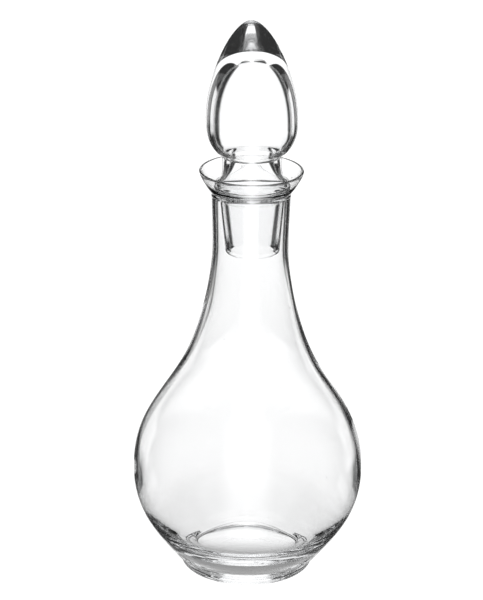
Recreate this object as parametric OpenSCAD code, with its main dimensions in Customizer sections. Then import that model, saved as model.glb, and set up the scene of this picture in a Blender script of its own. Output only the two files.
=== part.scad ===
// Round-bellied glass decanter with a hollow blown stopper.
// Millimetres, +Z up, origin on the table at the centre of the foot.

/* [Decanter] */
// Outer diameter of the bulb at its widest
bulb_d = 123; // [119:0.5:127]
// Height of the widest point above the table
bulb_h = 54.6; // [52:0.2:57]
// Outer diameter of the neck at its narrowest
neck_d = 40; // [38.6:0.2:42]
// Height of the narrowest point of the neck
neck_h = 181; // [176:0.5:186]
// Outer diameter of the pouring lip
lip_d = 54.2; // [52:0.2:58]
// Height of the lip above the table
lip_h = 222; // [219:0.5:226]
// Height of the flared cup below the lip
cup_h = 11.8; // [10.5:0.1:13]
// Outer diameter of the foot
foot_d = 70.8; // [69:0.2:74]
// Height of the upright side of the foot
foot_h = 3.4; // [2.6:0.1:4.2]
// Wall thickness of the bulb at its widest
bulb_wall = 2.2; // [1.4:0.1:2.6]
// Wall thickness of the neck
neck_wall = 1.9; // [1.7:0.1:2.1]
// Wall thickness at the lip
lip_wall = 1.6; // [1.2:0.1:2.2]
// Diameter of the sunken inner floor
floor_d = 55.2; // [52:0.2:56]
// Height of the inner floor above the table
floor_h = 9.5; // [8.4:0.1:10.4]

/* [Stopper] */
// Height of the stopper's tip above the table
tip_h = 300.8; // [294:0.2:308]
// Outer diameter of the stopper's bulb
knob_d = 47.8; // [45:0.2:50]
// Outer diameter of the waist under the bulb
waist_d = 31.2; // [29.6:0.2:32]
// How far the shoulder reaches out past the neck's mouth
shoulder_over = 0.8; // [0.5:0.05:0.9]
// Gap between the plug's upper end and the neck's bore
plug_gap = 2.1; // [2:0.05:2.6]
// How much narrower the plug's lower end is, in radius
plug_taper = 2.4; // [1.8:0.1:3]
// Length of the plug below the neck's mouth
plug_len = 31.5; // [26:0.5:34]
// Wall thickness of the plug
plug_wall = 2.4; // [2:0.1:2.7]
// Wall thickness at the shoulder
shoulder_wall = 1.6; // [1.3:0.1:2.2]
// Wall thickness at the waist, where the inside has a ridge
waist_wall = 4.7; // [3.4:0.1:5]
// Wall thickness of the stopper's bulb at its widest
knob_wall = 3.6; // [2.8:0.1:4.4]
// Thickness of the solid glass at the tip
tip_solid = 18.5; // [17:0.5:22]

/* [Hidden] */
$fn = 120;

// Straight pieces that stand for each stretch of a curve
SMOOTH = 14;
SHORT = 6;

// Gap between the stopper's seat and the neck's mouth
SEAT_GAP = 0.3;

// ---- decanter outline, outside ----
bulb_r = bulb_d / 2;
neck_r = neck_d / 2;
lip_r = lip_d / 2;
foot_r = foot_d / 2;
floor_r = floor_d / 2;
// Flat ring that the foot rests on, and the hollow under the base
rest_out_r = foot_r - 1.2;
rest_in_r = foot_r - 3.2;
punt_h = 0.4;
// Where the bulb's curve leaves the fillet above the foot
root = [foot_r + 4.1, foot_h + 3.8];
root_slope = 50;
// The bell's turning point between bulb and neck
bell = [0.591 * bulb_r, bulb_h + 0.474 * (neck_h - bulb_h)];
bell_lean = 28.2;
// The crease where the neck opens into the cup
crease_h = lip_h - cup_h;
crease_r = neck_r + 0.8;

// ---- decanter outline, inside ----
// The floor's edge steps up to the bowl
step_r = floor_r + 0.3;
step_h = floor_h + 1.2;
bowl_slope = 25;
bowl_reach = 26.7;
bowl_drop = 24.3;
// The neck's mouth, where the bore opens into the cup
mouth_h = crease_h - 2.3;
mouth_r = neck_r + 0.6 - neck_wall;
cup_floor = [mouth_r + 2.4, crease_h + 3];
cup_tilt = 40;
cup_reach = 2.2;

// ---- stopper outline ----
knob_r = knob_d / 2;
waist_r = waist_d / 2;
shoulder_r = mouth_r + shoulder_over;
plug_top_r = mouth_r - plug_gap;
plug_end_r = plug_top_r - plug_taper;
waist_h = lip_h + 7;
knob_h = waist_h + 18.6;
knob_root = [waist_r + 2.8, waist_h + 3.1];
// The taper above the bulb, where it turns into the tip
taper = [0.598 * knob_r, tip_h - 14.8];
shoulder_h = crease_h + 4.6;
// The seat starts below the mouth and leans outwards
seat = [plug_top_r, mouth_h - 1.6];
seat_tilt = 36;
seat_reach = 3.4;
plug_end_h = mouth_h + 1.1 - plug_len;
cavity_r = knob_r - knob_wall;
cavity_top_h = tip_h - tip_solid;

// Cubic curve through a and d, pulled towards b and c
function curve(a, b, c, d, n) =
    [for (i = [0 : n]) let (t = i / n, u = 1 - t)
        u * u * u * a + 3 * u * u * t * b + 3 * u * t * t * c + t * t * t * d];

// A list of points without its first one, so that stretches join without a double
function rest(p) = [for (i = [1 : len(p) - 1]) p[i]];

// A step of length s at an angle a above level
function along(a, s) = [s * cos(a), s * sin(a)];

// Outside of the decanter, from the middle of its underside to the lip
function decanter_outside() = concat(
    // hollow under the base, rising to the middle
    curve([0, punt_h], [0.55 * rest_in_r, punt_h], [0.8 * rest_in_r, 0.9], [rest_in_r, 0], SHORT),
    // resting ring, rounded edge and upright side of the foot
    curve([rest_out_r, 0], [foot_r - 0.5, 0], [foot_r, 0.4], [foot_r, 1.5], SHORT),
    // hollow fillet under the bulb
    curve([foot_r, foot_h], [foot_r, foot_h + 1.6], root - along(root_slope, 1.8), root, SHORT),
    // belly
    rest(curve(root, root + along(root_slope, 20.4), [bulb_r, bulb_h - 20],
        [bulb_r, bulb_h], SMOOTH)),
    // bell
    rest(curve([bulb_r, bulb_h], [bulb_r, bulb_h + 28], bell - along(90 + bell_lean, 24),
        bell, SMOOTH)),
    rest(curve(bell, bell + along(90 + bell_lean, 24), [neck_r, neck_h - 16],
        [neck_r, neck_h], SMOOTH)),
    // neck, opening a little upwards
    rest(curve([neck_r, neck_h], [neck_r, neck_h + 9], [crease_r - 0.2, crease_h - 8],
        [crease_r, crease_h], SHORT)),
    // cup
    rest(curve([crease_r, crease_h], [crease_r, crease_h] + along(48, 4), [lip_r, lip_h - 2.5],
        [lip_r, lip_h - lip_wall / 2], SMOOTH)));

// Rounded lip, from the outside over the top to the inside
function lip_round() =
    [for (i = [1 : SHORT]) let (a = 180 * i / (SHORT + 1))
        [lip_r - lip_wall / 2 + lip_wall / 2 * cos(a),
         lip_h - lip_wall / 2 + lip_wall / 2 * sin(a)]];

// Inside of the decanter, from the lip down to the middle of the floor
function decanter_inside() = let (
        in_r = bulb_r - bulb_wall,
        in_lip = [lip_r - lip_wall, lip_h - lip_wall / 2],
        in_neck = [neck_r - neck_wall, neck_h],
        in_bell = bell - along(bell_lean, bulb_wall))
    concat(
    // cup
    curve(in_lip, in_lip - [0.8, 4], cup_floor + along(cup_tilt, cup_reach), cup_floor, SHORT),
    // mouth
    rest(curve(cup_floor, cup_floor - along(cup_tilt, 1.8), [mouth_r, mouth_h + 1.4],
        [mouth_r, mouth_h], SHORT)),
    // neck
    rest(curve([mouth_r, mouth_h], [mouth_r - 0.2, mouth_h - 8], in_neck + [0, 9],
        in_neck, SHORT)),
    // bell
    rest(curve(in_neck, in_neck - [0, 16], in_bell + along(90 + bell_lean, 24),
        in_bell, SMOOTH)),
    rest(curve(in_bell, in_bell - along(90 + bell_lean, 24), [in_r, bulb_h + 28],
        [in_r, bulb_h], SMOOTH)),
    // bowl
    rest(curve([in_r, bulb_h], [in_r, bulb_h - bowl_drop],
        [step_r, step_h] + along(bowl_slope, bowl_reach), [step_r, step_h], SMOOTH)),
    // step down to the floor, and the floor itself
    rest(curve([step_r, step_h], [floor_r, step_h - 0.5], [floor_r - 0.4, floor_h],
        [floor_r - 1.6, floor_h], SHORT)),
    [[0, floor_h]]);

// Outside of the stopper, from the plug's lower end up to the tip
function stopper_outside() = concat(
    // rounded lower end
    curve([plug_end_r - plug_wall / 2, plug_end_h], [plug_end_r - 0.1, plug_end_h],
        [plug_end_r, plug_end_h + 0.6], [plug_end_r, plug_end_h + 1.8], SHORT),
    // plug, seat and shoulder
    [seat],
    curve(seat + [0.2, 0.3], seat + along(seat_tilt, seat_reach),
        [shoulder_r, shoulder_h - 1.8], [shoulder_r, shoulder_h - 0.6], SMOOTH),
    // flare up to the waist
    curve([shoulder_r - 0.2, shoulder_h], [shoulder_r - 4.5, shoulder_h + 1.2],
        [waist_r, waist_h - 7.5], [waist_r, waist_h - 0.4], SMOOTH),
    // from the waist to the widest point
    curve([waist_r, waist_h + 0.2], [waist_r, waist_h + 1.4], knob_root - along(40, 1.4),
        knob_root, SHORT),
    rest(curve(knob_root, knob_root + along(40, 4.9), [knob_r, knob_h - 6.5],
        [knob_r, knob_h], SMOOTH)),
    // taper and tip
    rest(curve([knob_r, knob_h], [knob_r, knob_h + 14], taper + [5.5, -11], taper, SMOOTH)),
    rest(curve(taper, taper + [-3.5, 7], [5, tip_h], [0, tip_h], SMOOTH)));

// Inside of the stopper, from the top of the cavity down to the plug's lower end
function stopper_inside() = let (
        widest = [cavity_r, knob_h - 1.5],
        dome = [0.507 * cavity_r, cavity_top_h - 4.3],
        waist = [waist_r - waist_wall, waist_h],
        shoulder = [shoulder_r - shoulder_wall, shoulder_h - 1.5],
        top = [plug_top_r - plug_wall, mouth_h],
        end = [plug_end_r - plug_wall, plug_end_h + 2])
    concat(
    // dome of the cavity, and its sides
    curve([0, cavity_top_h], [3.9, cavity_top_h], dome + along(135, 3.9), dome, SHORT),
    rest(curve(dome, dome + along(-45, 7), widest + [0, 15.5], widest, SMOOTH)),
    rest(curve(widest, widest - [0, 12.5], waist + along(50, 5), waist, SMOOTH)),
    // flare below the ridge at the waist
    rest(curve(waist, waist + [0.1, -4], shoulder + [-3.4, 0.6], shoulder, SMOOTH)),
    rest(curve(shoulder, shoulder + [0.2, -2], top + [0.1, 2], top, SHORT)),
    // plug and its rounded lower end
    curve(end, end - [0, 1.4], [plug_end_r - 0.9 * plug_wall, plug_end_h],
        [plug_end_r - plug_wall / 2, plug_end_h], SHORT));

// All but the last point of a list
function most(p) = [for (i = [0 : len(p) - 2]) p[i]];

module decanter() {
    color([0.90, 0.94, 0.95, 0.35])
        rotate_extrude()
            polygon(concat(decanter_outside(), lip_round(), decanter_inside()));
}

module stopper() {
    color([0.88, 0.92, 0.94, 0.45])
        translate([0, 0, SEAT_GAP])
            rotate_extrude()
                polygon(concat(stopper_outside(), most(stopper_inside())));
}

decanter();
stopper();
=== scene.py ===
import math

import bpy
from mathutils import Matrix, Vector, noise


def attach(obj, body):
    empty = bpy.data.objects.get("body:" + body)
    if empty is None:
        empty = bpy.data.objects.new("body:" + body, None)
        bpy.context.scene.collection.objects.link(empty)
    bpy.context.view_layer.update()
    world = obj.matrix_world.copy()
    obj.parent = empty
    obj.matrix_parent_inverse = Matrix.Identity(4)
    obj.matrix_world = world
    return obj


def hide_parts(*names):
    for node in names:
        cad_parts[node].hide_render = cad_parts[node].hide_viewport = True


# Glass decanter with a hollow blown stopper, in metres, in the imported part's frame.
# The outlines below are in millimetres, as in the part, and are scaled when a mesh is made.

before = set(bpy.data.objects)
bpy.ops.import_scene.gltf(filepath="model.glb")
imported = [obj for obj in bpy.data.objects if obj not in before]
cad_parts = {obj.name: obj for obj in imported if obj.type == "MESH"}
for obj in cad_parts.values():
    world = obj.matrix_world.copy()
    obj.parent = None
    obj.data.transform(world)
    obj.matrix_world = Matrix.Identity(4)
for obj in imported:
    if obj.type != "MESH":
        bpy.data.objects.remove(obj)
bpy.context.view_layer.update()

MM = 0.001
SEGMENTS = 320


# ---- outlines -------------------------------------------------------------------------------

def curve(a, b, c, d, n):
    """Points on the cubic curve through a and d, pulled towards b and c."""
    points = []
    for i in range(n + 1):
        t, u = i / n, 1 - i / n
        points.append(tuple(u * u * u * p + 3 * u * u * t * q + 3 * u * t * t * r + t * t * t * s
                            for p, q, r, s in zip(a, b, c, d)))
    return points


def along(angle, length):
    """A step of that length, angle degrees above level."""
    return (length * math.cos(math.radians(angle)), length * math.sin(math.radians(angle)))


def plus(a, b, k=1.0):
    return (a[0] + k * b[0], a[1] + k * b[1])


def join(*stretches):
    """One outline from several stretches, without doubled points."""
    points = []
    for stretch in stretches:
        for p in stretch:
            if not points or math.dist(p, points[-1]) > 1e-6:
                points.append(p)
    return points


# Straight pieces that stand for each stretch of a curve
SMOOTH = 44
SHORT = 18
FINE = 100

# Decanter, as the part has it: the places its outline is drawn through, and its walls
bulb_r, bulb_h = 61.5, 54.6
neck_r, neck_h = 20.0, 181.0
lip_r, lip_h, cup_h = 27.1, 222.0, 11.8
foot_r, foot_h = 35.4, 3.4
bulb_wall, neck_wall, lip_wall = 2.2, 1.9, 1.6
floor_r, floor_h = 27.6, 9.5
# The ring the foot rests on, and the hollow under the base
rest_out_r, rest_in_r = foot_r - 1.2, foot_r - 3.2
punt_h, punt_lip = 0.4, 0.9
# Where the bulb's curve leaves the fillet above the foot
root, root_slope = (foot_r + 4.1, foot_h + 3.8), 50
# The bell's turning point between bulb and neck
bell, bell_lean = (0.591 * bulb_r, bulb_h + 0.474 * (neck_h - bulb_h)), 28.2
# The crease where the neck opens into the cup, and the cup's flare
crease_h, crease_r = lip_h - cup_h, neck_r + 0.8
lip_tilt, lip_start, lip_rise, lip_lean = 48, 4, 2.5, 0.8
# The step round the floor, and the bowl that rises from it
step_r, step_h = floor_r + 0.3, floor_h + 1.2
bowl_slope, bowl_reach, bowl_drop = 25, 26.7, 24.3
# The neck's mouth, where the bore opens into the cup
mouth_h, mouth_r = crease_h - 2.3, neck_r + 0.6 - neck_wall
cup_floor = (mouth_r + 2.4, crease_h + 3.0)
cup_tilt, cup_reach = 40, 2.2

# Stopper
tip_h, tip_solid = 300.8, 18.5
knob_r, waist_r, shoulder_r = 23.9, 15.6, 19.5
plug_top_r, plug_end_r, plug_len = 16.6, 14.2, 31.5
plug_wall, shoulder_wall, waist_wall, knob_wall = 2.4, 1.6, 4.7, 3.6
# Gap between the stopper's seat and the neck's mouth
SEAT_GAP = 0.3
waist_h = lip_h + 7
knob_h = waist_h + 18.6
knob_root = (waist_r + 2.8, waist_h + 3.1)
# The taper above the bulb, where it turns into the tip
taper = (0.598 * knob_r, tip_h - 14.8)
shoulder_h = crease_h + 4.6
# The seat starts below the mouth and leans outwards, and the flare above it narrows to the waist
seat, seat_tilt, seat_reach = (plug_top_r, mouth_h - 1.6), 36.0, 3.4
flare_in, flare_up, flare_drop = 4.5, 1.2, 7.5
plug_end_h = mouth_h + 1.1 - plug_len
# The cavity: its dome, its widest point and how it narrows to the ridge at the waist
cavity_r, cavity_top_h = knob_r - knob_wall, tip_h - tip_solid
cap_out, dome_r, dome_drop, dome_tilt, dome_back, dome_on = 3.9, 10.3, 4.3, 45, 3.9, 7
dome_up, bowl_down, bowl_tilt = 15.5, 12.5, 50


def decanter_outside():
    """From the middle of the underside to the lip."""
    return join(
        curve((0, punt_h), (0.55 * rest_in_r, punt_h), (0.8 * rest_in_r, punt_lip), (rest_in_r, 0),
              SMOOTH),
        curve((rest_out_r, 0), (foot_r - 0.5, 0), (foot_r, 0.4), (foot_r, 1.5), SHORT),
        curve((foot_r, foot_h), (foot_r, foot_h + 1.6), plus(root, along(root_slope, 1.8), -1), root,
              SHORT),
        curve(root, plus(root, along(root_slope, 20.4)), (bulb_r, bulb_h - 20), (bulb_r, bulb_h),
              FINE),
        curve((bulb_r, bulb_h), (bulb_r, bulb_h + 28), plus(bell, along(90 + bell_lean, 24), -1),
              bell, SMOOTH),
        curve(bell, plus(bell, along(90 + bell_lean, 24)), (neck_r, neck_h - 16), (neck_r, neck_h),
              SMOOTH),
        curve((neck_r, neck_h), (neck_r, neck_h + 9), (crease_r - 0.2, crease_h - 8),
              (crease_r, crease_h), SHORT),
        curve((crease_r, crease_h), plus((crease_r, crease_h), along(lip_tilt, lip_start)),
              (lip_r, lip_h - lip_rise), (lip_r, lip_h - lip_wall / 2), SMOOTH))


def lip_round():
    """From the outside over the lip to the inside."""
    half = lip_wall / 2
    return [(lip_r - half + half * math.cos(math.pi * i / SHORT),
             lip_h - half + half * math.sin(math.pi * i / SHORT)) for i in range(SHORT + 1)]


def decanter_inside():
    """From the lip down to the middle of the floor."""
    in_r = bulb_r - bulb_wall
    in_lip = (lip_r - lip_wall, lip_h - lip_wall / 2)
    in_neck = (neck_r - neck_wall, neck_h)
    in_bell = plus(bell, along(bell_lean, bulb_wall), -1)
    step = (step_r, step_h)
    return join(
        curve(in_lip, plus(in_lip, (-lip_lean, -4)), plus(cup_floor, along(cup_tilt, cup_reach)),
              cup_floor, SHORT),
        curve(cup_floor, plus(cup_floor, along(cup_tilt, 1.8), -1), (mouth_r, mouth_h + 1.4),
              (mouth_r, mouth_h), SHORT),
        curve((mouth_r, mouth_h), (mouth_r - 0.2, mouth_h - 8), plus(in_neck, (0, 9)), in_neck,
              SHORT),
        curve(in_neck, plus(in_neck, (0, -16)), plus(in_bell, along(90 + bell_lean, 24)), in_bell,
              SMOOTH),
        curve(in_bell, plus(in_bell, along(90 + bell_lean, 24), -1), (in_r, bulb_h + 28),
              (in_r, bulb_h), SMOOTH),
        curve((in_r, bulb_h), (in_r, bulb_h - bowl_drop), plus(step, along(bowl_slope, bowl_reach)),
              step, SMOOTH),
        curve(step, (floor_r, step_h - 0.5), (floor_r - 0.4, floor_h),
              (floor_r - 1.6, floor_h), SHORT),
        [((floor_r - 1.6) * (1 - i / FINE), floor_h) for i in range(1, FINE + 1)])


def stopper_outside():
    """From the plug's lower end up to the tip."""
    return join(
        curve((plug_end_r - plug_wall * 0.5, plug_end_h), (plug_end_r - 0.1, plug_end_h),
              (plug_end_r, plug_end_h + 0.6), (plug_end_r, plug_end_h + 1.8), SHORT),
        [seat],
        curve(plus(seat, (0.2, 0.3)), plus(seat, along(seat_tilt, seat_reach)),
              (shoulder_r, shoulder_h - 1.8), (shoulder_r, shoulder_h - 0.6), SHORT),
        curve((shoulder_r - 0.2, shoulder_h), (shoulder_r - flare_in, shoulder_h + flare_up),
              (waist_r, waist_h - flare_drop), (waist_r, waist_h - 0.4), SMOOTH),
        curve((waist_r, waist_h + 0.2), (waist_r, waist_h + 1.4), plus(knob_root, along(40, 1.4), -1),
              knob_root, SHORT),
        curve(knob_root, plus(knob_root, along(40, 4.9)), (knob_r, knob_h - 6.5), (knob_r, knob_h),
              SMOOTH),
        curve((knob_r, knob_h), (knob_r, knob_h + 14), plus(taper, (5.5, -11)), taper, SMOOTH),
        curve(taper, plus(taper, (-3.5, 7)), (5, tip_h), (0, tip_h), SMOOTH))


def stopper_inside():
    """From the top of the cavity down to the plug's lower end."""
    widest = (cavity_r, knob_h - 1.5)
    dome = (dome_r, cavity_top_h - dome_drop)
    waist = (waist_r - waist_wall, waist_h)
    shoulder = (shoulder_r - shoulder_wall, shoulder_h - 1.5)
    top = (plug_top_r - plug_wall, mouth_h)
    end = (plug_end_r - plug_wall, plug_end_h + 2.0)
    return join(
        curve((0, cavity_top_h), (cap_out, cavity_top_h), plus(dome, along(-dome_tilt, dome_back), -1),
              dome, SMOOTH),
        curve(dome, plus(dome, along(-dome_tilt, dome_on)), plus(widest, (0, dome_up)), widest,
              SMOOTH),
        curve(widest, plus(widest, (0, -bowl_down)), plus(waist, along(bowl_tilt, 5)), waist, SMOOTH),
        curve(waist, plus(waist, (0.1, -4)), plus(shoulder, (-3.4, 0.6)), shoulder, SMOOTH),
        curve(shoulder, plus(shoulder, (0.2, -2)), plus(top, (0.1, 2)), top, SHORT),
        curve(end, plus(end, (0, -1.4)), (plug_end_r - plug_wall * 0.9, plug_end_h),
              (plug_end_r - plug_wall * 0.5, plug_end_h), SHORT))


# ---- meshes ---------------------------------------------------------------------------------

def lathe(name, outlines, uneven):
    """A closed surface of revolution from outlines in millimetres, which run on from axis to axis and
    are marked as inside or not. uneven(point, is_inside) moves a point of the turned surface to where
    the glassblower left it."""
    rows = []
    for outline, is_inside in outlines:
        for r, z in outline:
            if not rows or math.dist((r, z), rows[-1][:2]) > 1e-6:
                rows.append((r, z, is_inside))
    first, body, last = rows[0], rows[1:-1], rows[-1]
    verts, faces = [], []
    for r, z, is_inside in body:
        for k in range(SEGMENTS):
            a = 2 * math.pi * k / SEGMENTS
            verts.append(uneven(Vector((r * math.cos(a), r * math.sin(a), z)), is_inside))
    for i in range(len(body) - 1):
        low, high = i * SEGMENTS, (i + 1) * SEGMENTS
        for k in range(SEGMENTS):
            m = (k + 1) % SEGMENTS
            faces.append((low + k, low + m, high + m, high + k))
    start, end = len(verts), len(verts) + 1
    verts += [uneven(Vector((0, 0, z)), is_inside) for r, z, is_inside in (first, last)]
    top = (len(body) - 1) * SEGMENTS
    for k in range(SEGMENTS):
        m = (k + 1) % SEGMENTS
        faces += [(start, m, k), (end, top + k, top + m)]
    mesh = bpy.data.meshes.new(name)
    mesh.from_pydata([v * MM for v in verts], [], faces)
    mesh.validate()
    for face in mesh.polygons:
        face.use_smooth = True
    obj = bpy.data.objects.new(name, mesh)
    bpy.context.scene.collection.objects.link(obj)
    return obj


def raised(outline, height):
    """The same outline, higher up."""
    return [(r, z + height) for r, z in outline]


def bump(x):
    """A smooth hump, 1 at x = 0 and next to nothing past x = 2."""
    return math.exp(-x * x)


def ripple(point, size):
    """Smooth unevenness between about -1 and 1, in lumps of that size."""
    return noise.noise(point / size)


# How uneven the blown walls are: the inside wanders sideways, and both faces ripple
NECK_DRIFT, NECK_DRIFT_H, NECK_DRIFT_SPAN = 0.35, 146.0, 17.0
BELLY_DRIFT, BELLY_DRIFT_H, BELLY_DRIFT_SPAN = -0.40, 76.0, 24.0
CAVITY_DRIFT = 0.30
INSIDE_LUMPS, INSIDE_DEPTH = 26.0, 0.09
OUTSIDE_LUMPS, OUTSIDE_DEPTH = 34.0, 0.03
# Fine rings left by the paddle on the lower part of the bulb
RING_PITCH, RING_DEPTH, RING_TOP = 1.7, 0.036, 25.0
# A curl of thicker glass on the floor, off centre
CURL_X, CURL_Y, CURL_START, CURL_GROWTH = 3.0, -1.5, 13.5, 1.6
CURL_DEPTH, CURL_WIDTH, CURL_TURNS = 0.2, 0.9, 1.35
# The photo's camera stands at this azimuth; the walls wander to its right and left
MAIN_AZIMUTH = 45
SIDEWAYS = Vector((math.cos(math.radians(MAIN_AZIMUTH)), math.sin(math.radians(MAIN_AZIMUTH)), 0))


def outwards(point):
    """Level direction from the axis to a point."""
    return Vector((point.x, point.y, 0)).normalized()


def curl(point):
    """Height of the curl on the floor under a point."""
    x, y = point.x - CURL_X, point.y - CURL_Y
    turn = (math.atan2(y, x) / (2 * math.pi)) % 1.0
    height = 0.0
    for lap in (0, 1):
        at = turn + lap
        if at < CURL_TURNS:
            end = min(at, CURL_TURNS - at) / 0.25
            radius = CURL_START + CURL_GROWTH * at
            height += min(1.0, end) * bump((math.hypot(x, y) - radius) / CURL_WIDTH)
    return CURL_DEPTH * height


def blown_decanter(point, is_inside):
    """Where a point of the decanter's turned surface ends up."""
    side = outwards(point)
    if not is_inside:
        low = max(0.0, 1 - max(0.0, point.z - RING_TOP * 0.5) / (RING_TOP * 0.5))
        low *= min(1.0, max(0.0, point.z - foot_h) / 2)
        rings = noise.noise(Vector((0.035 * point.x, 0.035 * point.y, point.z / RING_PITCH)))
        return point + side * (OUTSIDE_DEPTH * ripple(point, OUTSIDE_LUMPS) * min(1, point.z / 20)
                               + RING_DEPTH * low * rings)
    drift = (NECK_DRIFT * bump((point.z - NECK_DRIFT_H) / NECK_DRIFT_SPAN)
             + BELLY_DRIFT * bump((point.z - BELLY_DRIFT_H) / BELLY_DRIFT_SPAN))
    moved = point + SIDEWAYS * drift + side * (INSIDE_DEPTH * ripple(point + Vector((70, 0, 0)),
                                                                      INSIDE_LUMPS))
    if point.z < floor_h + 4:
        moved.z += curl(point)
    return moved


def blown_stopper(point, is_inside):
    """Where a point of the stopper's turned surface ends up."""
    side = outwards(point)
    if not is_inside:
        return point + side * OUTSIDE_DEPTH * ripple(point, OUTSIDE_LUMPS)
    up = max(0.0, min(1.0, (point.z - waist_h) / 12))
    return point + SIDEWAYS * CAVITY_DRIFT * up + side * (INSIDE_DEPTH * ripple(point, INSIDE_LUMPS))


# ---- glass ----------------------------------------------------------------------------------

def glass(name, tint, deep_tint, waves, wave_depth):
    """Clear glass: faintly uneven in colour and surface, and a little tinted where it is thick."""
    mat = bpy.data.materials.new(name)
    mat.use_nodes = True
    nodes, links = mat.node_tree.nodes, mat.node_tree.links
    shader = nodes["Principled BSDF"]
    shader.inputs["Transmission Weight"].default_value = 1.0
    shader.inputs["IOR"].default_value = 1.5
    place = nodes.new("ShaderNodeTexCoord")

    def texture(scale, detail):
        node = nodes.new("ShaderNodeTexNoise")
        node.inputs["Scale"].default_value = scale
        node.inputs["Detail"].default_value = detail
        links.new(place.outputs["Object"], node.inputs["Vector"])
        return node.outputs["Fac"]

    # streaks of very slightly different glass
    streaks = nodes.new("ShaderNodeMix")
    streaks.data_type = "RGBA"
    links.new(texture(16.0, 2.0), streaks.inputs["Factor"])
    streaks.inputs["A"].default_value = (*tint, 1.0)
    streaks.inputs["B"].default_value = (*(min(1.0, c * 1.012) for c in tint), 1.0)
    links.new(streaks.outputs["Result"], shader.inputs["Base Color"])

    # a fire-polished face that is almost, but not quite, perfectly smooth
    polish = nodes.new("ShaderNodeMapRange")
    links.new(texture(45.0, 3.0), polish.inputs["Value"])
    polish.inputs["From Min"].default_value = 0.55
    polish.inputs["From Max"].default_value = 0.80
    polish.inputs["To Min"].default_value = 0.0
    polish.inputs["To Max"].default_value = 0.03
    links.new(polish.outputs["Result"], shader.inputs["Roughness"])

    # the slow waves of blown glass, and a seed here and there
    seeds = nodes.new("ShaderNodeTexVoronoi")
    seeds.inputs["Scale"].default_value = 42.0
    links.new(place.outputs["Object"], seeds.inputs["Vector"])
    dot = nodes.new("ShaderNodeMapRange")
    dot.interpolation_type = "SMOOTHERSTEP"
    links.new(seeds.outputs["Distance"], dot.inputs["Value"])
    dot.inputs["From Min"].default_value = 0.0
    dot.inputs["From Max"].default_value = 0.03
    dot.inputs["To Min"].default_value = 1.0
    dot.inputs["To Max"].default_value = 0.0
    height = nodes.new("ShaderNodeMath")
    height.operation = "MULTIPLY_ADD"
    links.new(dot.outputs["Result"], height.inputs[0])
    height.inputs[1].default_value = 3.0
    links.new(texture(waves, 1.0), height.inputs[2])
    wave = nodes.new("ShaderNodeBump")
    wave.inputs["Strength"].default_value = 1.0
    wave.inputs["Distance"].default_value = wave_depth
    links.new(height.outputs[0], wave.inputs["Height"])
    links.new(wave.outputs["Normal"], shader.inputs["Normal"])

    depth = nodes.new("ShaderNodeVolumeAbsorption")
    depth.inputs["Color"].default_value = (*deep_tint, 1.0)
    depth.inputs["Density"].default_value = 3.0
    links.new(depth.outputs["Volume"], nodes["Material Output"].inputs["Volume"])
    return mat


decanter = lathe("decanter_glass", ((decanter_outside(), False), (lip_round(), False),
                                    (decanter_inside(), True)), blown_decanter)
stopper = lathe("stopper_glass", ((raised(stopper_inside(), SEAT_GAP), True),
                                  (raised(stopper_outside(), SEAT_GAP), False)), blown_stopper)

# The stopper sits a little crooked in the neck, leaning to the camera's left.
LEAN, LEAN_PIVOT = math.radians(0.97), 0.240
look = math.radians(90 + MAIN_AZIMUTH)
stopper.data.transform(Matrix.Translation((0, 0, LEAN_PIVOT))
                       @ Matrix.Rotation(-LEAN, 4, Vector((math.cos(look), math.sin(look), 0)))
                       @ Matrix.Translation((0, 0, -LEAN_PIVOT)))

clear = glass("clear_glass", (0.985, 0.987, 0.989), (0.90, 0.92, 0.95), 38.0, 0.00004)
for piece, body, node in ((decanter, "decanter", "decanter"), (stopper, "stopper", "stopper")):
    piece.data.materials.append(clear)
    piece.visible_shadow = False
    piece.visible_diffuse = False
    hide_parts(node)
    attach(piece, body)


# ---- studio ---------------------------------------------------------------------------------

# What the glass sees, in degrees and as brightness against the white that the camera sees.
# A tall window straight behind, which is a little brighter above GAIN_TO than below GAIN_FROM
BEHIND = 90 + MAIN_AZIMUTH
WINDOW_HALF, WINDOW_SOFT, WINDOW_LEVEL = 14.8, 2.7, 1.43
WINDOW_GAIN, GAIN_FROM, GAIN_TO = 0.20, -25.0, -13.0
WINDOW_LOW, WINDOW_HIGH = -56, 90.0
# One in front, and a low one at each side
FRONT_HALF, FRONT_SOFT, FRONT_LOW, FRONT_HIGH, FRONT_LEVEL = 22, 12, -56, 90, 1.35
SIDE_TURN, SIDE_HALF, SIDE_LOW, SIDE_HIGH, SIDE_LEVEL = 50, 12, -16, 5, 1.3
# Light from above, and the dark studio between the windows
TOP_LOW, TOP_SOFT, TOP_LEVEL = 54, 7.0, 1.1
DARK_LEVEL = 0.04
# Brightness of the white background
WHITE_LEVEL = 1.6
# The glowing card under the decanter, painted light for the lit table, in metres: half its width, its
# reach to the front and to the back, and its brightness: painted shade in front, where FRONT_FROM to
# FRONT_TO fades it up, and painted light, a little brighter, under the foot
CARD_HALF, CARD_FRONT, CARD_BACK = 0.043, 0.045, 0.085
CARD_SOFT, BACK_SOFT = 0.010, 0.045
FRONT_FROM, FRONT_TO = -0.03, 0.03
# Painted shade: the card's front glows at the first level; painted light: it glows a little brighter
# under the foot
CARD_FRONT_SHADE, CARD_FOOT_LIGHT = 0.3, 1.04
FOOT_IN, FOOT_OUT = 0.030, 0.042

scene = bpy.context.scene


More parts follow.
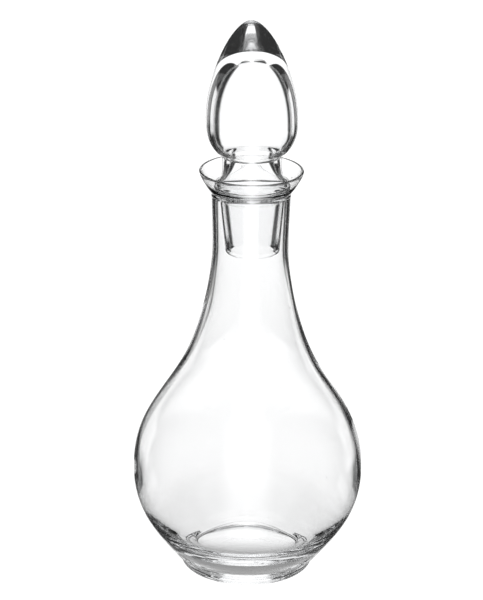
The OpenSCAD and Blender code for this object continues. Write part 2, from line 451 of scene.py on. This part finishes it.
def floor():
    """A plain pale floor, which the glass does not see."""
    size = 60.0
    mesh = bpy.data.meshes.new("floor")
    mesh.from_pydata([(-size, -size, 0), (size, -size, 0), (size, size, 0), (-size, size, 0)], [],
                     [(0, 1, 2, 3)])
    obj = bpy.data.objects.new("floor", mesh)
    scene.collection.objects.link(obj)
    mat = bpy.data.materials.new("floor")
    mat.use_nodes = True
    shader = mat.node_tree.nodes["Principled BSDF"]
    shader.inputs["Base Color"].default_value = (0.9, 0.9, 0.9, 1)
    shader.inputs["Roughness"].default_value = 1.0
    shader.inputs["Specular IOR Level"].default_value = 0.0
    mesh.materials.append(mat)
    obj.visible_transmission = False
    obj.visible_glossy = False


def painted_table_light(half, front, back, level, under):
    """A glowing card on the table under the decanter, running back from it, as the glass sees it:
    painted light for the lit table, with painted shade over its front and a little painted light under
    the foot.
    The camera sees the floor instead."""
    soft, low = CARD_SOFT, -0.0003
    rim = soft + 0.001
    mesh = bpy.data.meshes.new("painted_table_light")
    mesh.from_pydata([(-half - rim, -front - rim, low), (half + rim, -front - rim, low),
                      (half + rim, back + BACK_SOFT, low), (-half - rim, back + BACK_SOFT, low)],
                     [], [(0, 1, 2, 3)])
    obj = bpy.data.objects.new("painted_table_light", mesh)
    scene.collection.objects.link(obj)
    obj.rotation_euler = (0, 0, math.radians(MAIN_AZIMUTH))
    mat = bpy.data.materials.new("painted_table_light")
    mat.use_nodes = True
    nodes, links = mat.node_tree.nodes, mat.node_tree.links
    nodes.clear()
    place = nodes.new("ShaderNodeTexCoord")
    length = nodes.new("ShaderNodeVectorMath")
    length.operation = "LENGTH"
    links.new(place.outputs["Object"], length.inputs[0])
    split = nodes.new("ShaderNodeSeparateXYZ")
    links.new(place.outputs["Object"], split.inputs[0])
    aside = nodes.new("ShaderNodeMath")
    aside.operation = "ABSOLUTE"
    links.new(split.outputs["X"], aside.inputs[0])

    def ramp(value, start, end, low, high):
        node = nodes.new("ShaderNodeMapRange")
        node.interpolation_type = "SMOOTHERSTEP"
        links.new(value, node.inputs["Value"])
        for name, number in (("From Min", start), ("From Max", end), ("To Min", low),
                             ("To Max", high)):
            node.inputs[name].default_value = number
        return node.outputs["Result"]

    def times(a, b):
        node = nodes.new("ShaderNodeMath")
        node.operation = "MULTIPLY"
        links.new(a, node.inputs[0])
        links.new(b, node.inputs[1])
        return node.outputs[0]

    emission = nodes.new("ShaderNodeEmission")
    # Painted light: the glow is dimmed over the card's front (painted shade) and raised a little under
    # the foot (painted light)
    painted_foot_light = ramp(length.outputs["Value"], FOOT_IN, FOOT_OUT, under, 1.0)
    painted_front_shade = ramp(split.outputs["Y"], FRONT_FROM, FRONT_TO, level, 1.0)
    links.new(times(painted_foot_light, painted_front_shade), emission.inputs["Strength"])
    clear = nodes.new("ShaderNodeBsdfTransparent")
    mix = nodes.new("ShaderNodeMixShader")
    links.new(times(ramp(aside.outputs[0], half - soft, half + soft, 1.0, 0.0),
                    times(ramp(split.outputs["Y"], -front - soft, soft - front, 0.0, 1.0),
                          ramp(split.outputs["Y"], back - BACK_SOFT, back + BACK_SOFT, 1.0, 0.0))),
              mix.inputs["Fac"])
    links.new(clear.outputs[0], mix.inputs[1])
    links.new(emission.outputs[0], mix.inputs[2])
    output = nodes.new("ShaderNodeOutputMaterial")
    links.new(mix.outputs[0], output.inputs["Surface"])
    mesh.materials.append(mat)
    obj.visible_camera = False
    obj.visible_diffuse = False
    obj.visible_shadow = False


floor()
painted_table_light(CARD_HALF, CARD_FRONT, CARD_BACK, CARD_FRONT_SHADE, CARD_FOOT_LIGHT)


def studio_light():
    """A white dome for the camera and the floor. The glass sees a dark studio with bright panels
    straight behind it, which is what gives clear glass its dark edges."""
    world = bpy.data.worlds.new("studio")
    scene.world = world
    world.use_nodes = True
    world.cycles.sampling_method = "NONE"
    nodes, links = world.node_tree.nodes, world.node_tree.links
    nodes.clear()

    def math_node(operation, a, b=None, c=None):
        node = nodes.new("ShaderNodeMath")
        node.operation = operation
        for socket, value in zip(node.inputs, (a, b, c)):
            if value is None:
                continue
            if isinstance(value, (int, float)):
                socket.default_value = value
            else:
                links.new(value, socket)
        return node.outputs[0]

    def fade(value, start, end):
        """0 at start, 1 at end, smooth between; start may be above end."""
        node = nodes.new("ShaderNodeMapRange")
        node.interpolation_type = "SMOOTHERSTEP"
        links.new(value, node.inputs["Value"])
        flip = start > end
        node.inputs["From Min"].default_value = end if flip else start
        node.inputs["From Max"].default_value = start if flip else end
        node.inputs["To Min"].default_value = 1.0 if flip else 0.0
        node.inputs["To Max"].default_value = 0.0 if flip else 1.0
        return node.outputs["Result"]

    coordinates = nodes.new("ShaderNodeTexCoord")
    split = nodes.new("ShaderNodeSeparateXYZ")
    links.new(coordinates.outputs["Generated"], split.inputs[0])
    x, y, z = split.outputs
    elevation = math_node("MULTIPLY", math_node("ARCSINE", z), 180 / math.pi)

    def bearing(heading):
        """Degrees to either side of a heading, which is given from +X."""
        c, s = math.cos(math.radians(heading)), math.sin(math.radians(heading))
        ahead = math_node("ADD", math_node("MULTIPLY", x, c), math_node("MULTIPLY", y, s))
        aside = math_node("SUBTRACT", math_node("MULTIPLY", y, c), math_node("MULTIPLY", x, s))
        return math_node("MULTIPLY", math_node("ABSOLUTE", math_node("ARCTAN2", aside, ahead)),
                         180 / math.pi)

    top = fade(elevation, TOP_LOW - TOP_SOFT, TOP_LOW + TOP_SOFT)
    total = math_node("ADD", DARK_LEVEL, math_node("MULTIPLY", top, TOP_LEVEL))
    behind = math_node("MULTIPLY_ADD", fade(elevation, GAIN_FROM, GAIN_TO), WINDOW_GAIN, WINDOW_LEVEL)
    for heading, half, soft, low, high, level in (
            (BEHIND, WINDOW_HALF, WINDOW_SOFT, WINDOW_LOW, WINDOW_HIGH, behind),
            (BEHIND + 180, FRONT_HALF, FRONT_SOFT, FRONT_LOW, FRONT_HIGH, FRONT_LEVEL),
            (BEHIND - SIDE_TURN, SIDE_HALF, WINDOW_SOFT, SIDE_LOW, SIDE_HIGH, SIDE_LEVEL),
            (BEHIND + SIDE_TURN, SIDE_HALF, WINDOW_SOFT, SIDE_LOW, SIDE_HIGH, SIDE_LEVEL)):
        window = math_node("MULTIPLY",
                           fade(bearing(heading), half + soft, half - soft),
                           math_node("MULTIPLY", fade(elevation, low - 3, low + 3),
                                     fade(elevation, high + 3, high - 3)))
        total = math_node("MAXIMUM", total, math_node("MULTIPLY", window, level))

    path = nodes.new("ShaderNodeLightPath")
    plain = math_node("MAXIMUM", path.outputs["Is Camera Ray"], path.outputs["Is Diffuse Ray"])
    seen = math_node("MULTIPLY", plain, WHITE_LEVEL)
    hidden = math_node("MULTIPLY", math_node("SUBTRACT", 1.0, plain), total)
    background = nodes.new("ShaderNodeBackground")
    links.new(math_node("ADD", seen, hidden), background.inputs["Strength"])
    output = nodes.new("ShaderNodeOutputWorld")
    links.new(background.outputs[0], output.inputs["Surface"])


studio_light()


# The photo's camera: in metres from the axis and above the table, and how it is turned
CAMERA_AWAY, CAMERA_UP = 1.250, 0.6276
CAMERA_YAW, CAMERA_PITCH, CAMERA_ROLL = -0.20, 20.92, 0.71
LENS = 152.67


def main_camera():
    """The photo's camera, 1.4 m from the decanter and looking down at it by 21 degrees."""
    data = bpy.data.cameras.new("camera")
    data.sensor_width = 36.0
    data.lens = LENS
    obj = bpy.data.objects.new("camera", data)
    scene.collection.objects.link(obj)
    yaw, pitch, roll = (math.radians(a) for a in (CAMERA_YAW, CAMERA_PITCH, CAMERA_ROLL))
    forward = Vector((math.sin(yaw) * math.cos(pitch), math.cos(yaw) * math.cos(pitch),
                      -math.sin(pitch)))
    right = Vector((math.cos(yaw), -math.sin(yaw), 0))
    up = right.cross(forward)
    turned = Matrix((right * math.cos(roll) + up * math.sin(roll),
                     up * math.cos(roll) - right * math.sin(roll), -forward)).transposed()
    place = Matrix.Translation((0, -CAMERA_AWAY, CAMERA_UP)) @ turned.to_4x4()
    obj.matrix_world = Matrix.Rotation(math.radians(MAIN_AZIMUTH), 4, "Z") @ place
    data.clip_start, data.clip_end = 0.05, 100
    scene.camera = obj


main_camera()

scene.view_settings.view_transform = "Standard"
scene.view_settings.look = "None"
scene.cycles.max_bounces = 32
scene.cycles.transmission_bounces = 32
scene.cycles.glossy_bounces = 16
scene.cycles.caustics_refractive = True
scene.cycles.caustics_reflective = True
scene.cycles.use_denoising = True
scene.cycles.blur_glossy = 0.0
